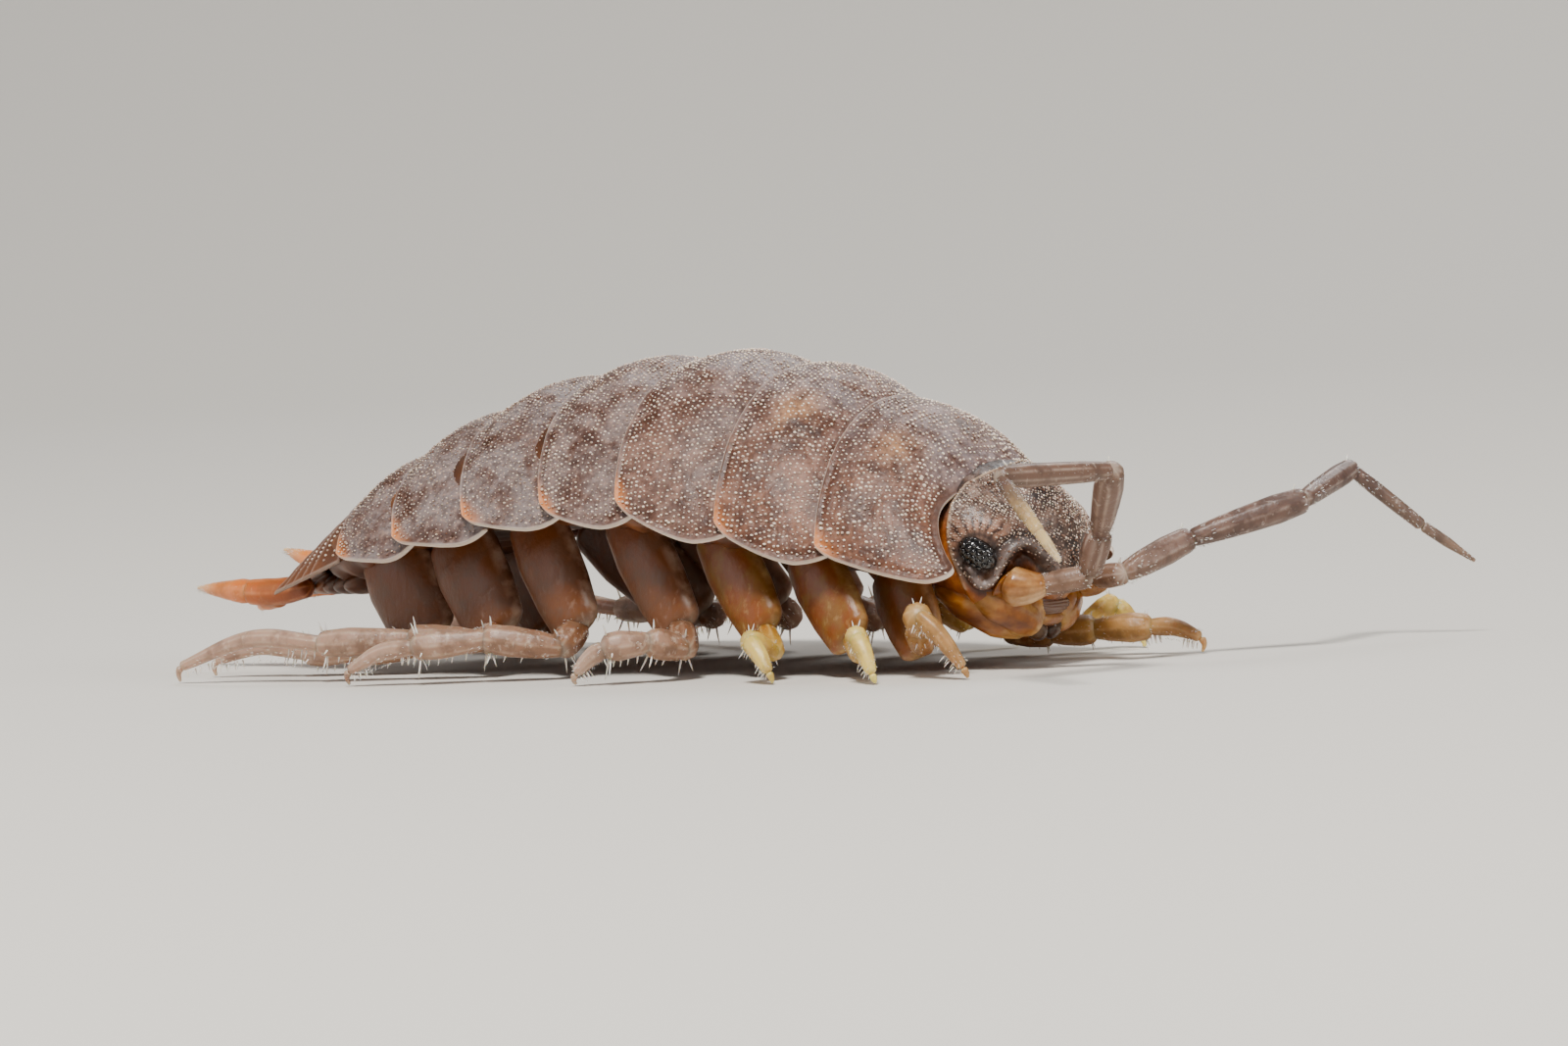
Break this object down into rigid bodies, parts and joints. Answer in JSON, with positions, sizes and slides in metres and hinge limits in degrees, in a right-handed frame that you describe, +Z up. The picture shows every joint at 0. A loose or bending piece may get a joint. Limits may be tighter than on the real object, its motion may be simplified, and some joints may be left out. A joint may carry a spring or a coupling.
{
  "type": "woodlouse",
  "caption": "Life-size still model of a crawling woodlouse: segmented arched shell, head with eyes and feelers, walking legs and tail appendages.",
  "frame": {"origin": "under the middle of the whole box, level with the feet", "axes": "+X forward along the body towards the head, +Y to the animal's left, +Z up from the floor"},
  "size_m": [0.0206, 0.0116, 0.0052],
  "materials": {
    "shell": "grey-brown plates with pale grains, satin",
    "head": "dark brown-grey head with pale grains, satin",
    "eye": "black compound eye, glossy",
    "mouth": "amber brown mouthparts and cheeks, shiny",
    "feeler": "grey-brown feelers with pale ridges, satin",
    "leg": "amber to pale translucent legs, shiny",
    "tail": "orange tail appendages with pale tips, shiny"
  },
  "bodies": {
    "root": {"pereonite_1": "shell", "pereonite_2": "shell", "pereonite_3": "shell", "pereonite_4": "shell", "pereonite_5": "shell", "pereonite_6": "shell", "pereonite_7": "shell", "pleon": "shell", "telson": "shell", "cephalon": "head", "eye_right": "eye", "eye_left": "eye", "mouthparts": "mouth", "antenna_right": "feeler", "antenna_left": "feeler", "uropod_right": "tail", "uropod_left": "tail", "leg_right_1": "leg", "leg_right_2": "leg", "leg_right_3": "leg", "leg_right_4": "leg", "leg_right_5": "leg", "leg_right_6": "leg", "leg_right_7": "leg", "leg_left_1": "leg", "leg_left_2": "leg", "leg_left_3": "leg", "leg_left_4": "leg", "leg_left_5": "leg", "leg_left_6": "leg", "leg_left_7": "leg"}
  },
  "joints": []
}
